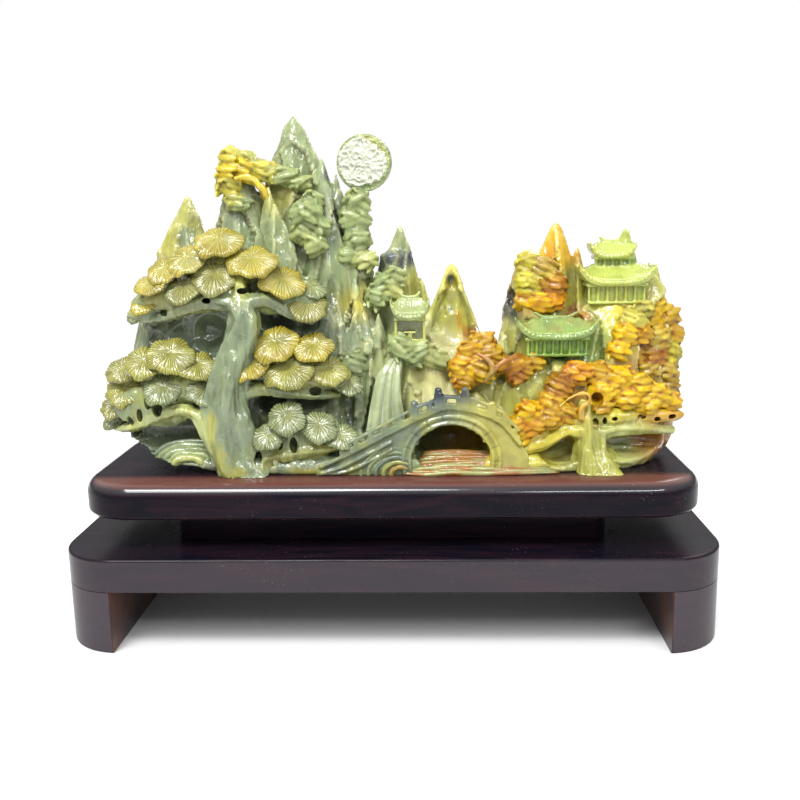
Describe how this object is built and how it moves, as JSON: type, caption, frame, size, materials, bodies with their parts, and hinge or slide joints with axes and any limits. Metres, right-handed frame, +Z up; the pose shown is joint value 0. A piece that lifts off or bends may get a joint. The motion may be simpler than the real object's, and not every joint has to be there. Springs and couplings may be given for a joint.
{
  "type": "jade landscape carving on stand",
  "caption": "Jade boulder carved as a mountain scene with pines, halls, a moon and an arched bridge, on a stepped rosewood stand.",
  "frame": {"origin": "on the floor, under the middle of the stand", "axes": "+X along the stand to the viewer's right, +Y from the carved front to the back, +Z up"},
  "size_m": [0.42, 0.17, 0.3331],
  "materials": {
    "jade": "polished yellow-green stone, slightly translucent, brown and orange on the right",
    "rosewood": "dark reddish lacquer, satin to gloss"
  },
  "bodies": {
    "root": {"jade_carving": "jade", "tray_board": "rosewood", "waist_block": "rosewood", "table_board": "rosewood", "left_leg": "rosewood", "right_leg": "rosewood"}
  },
  "joints": []
}
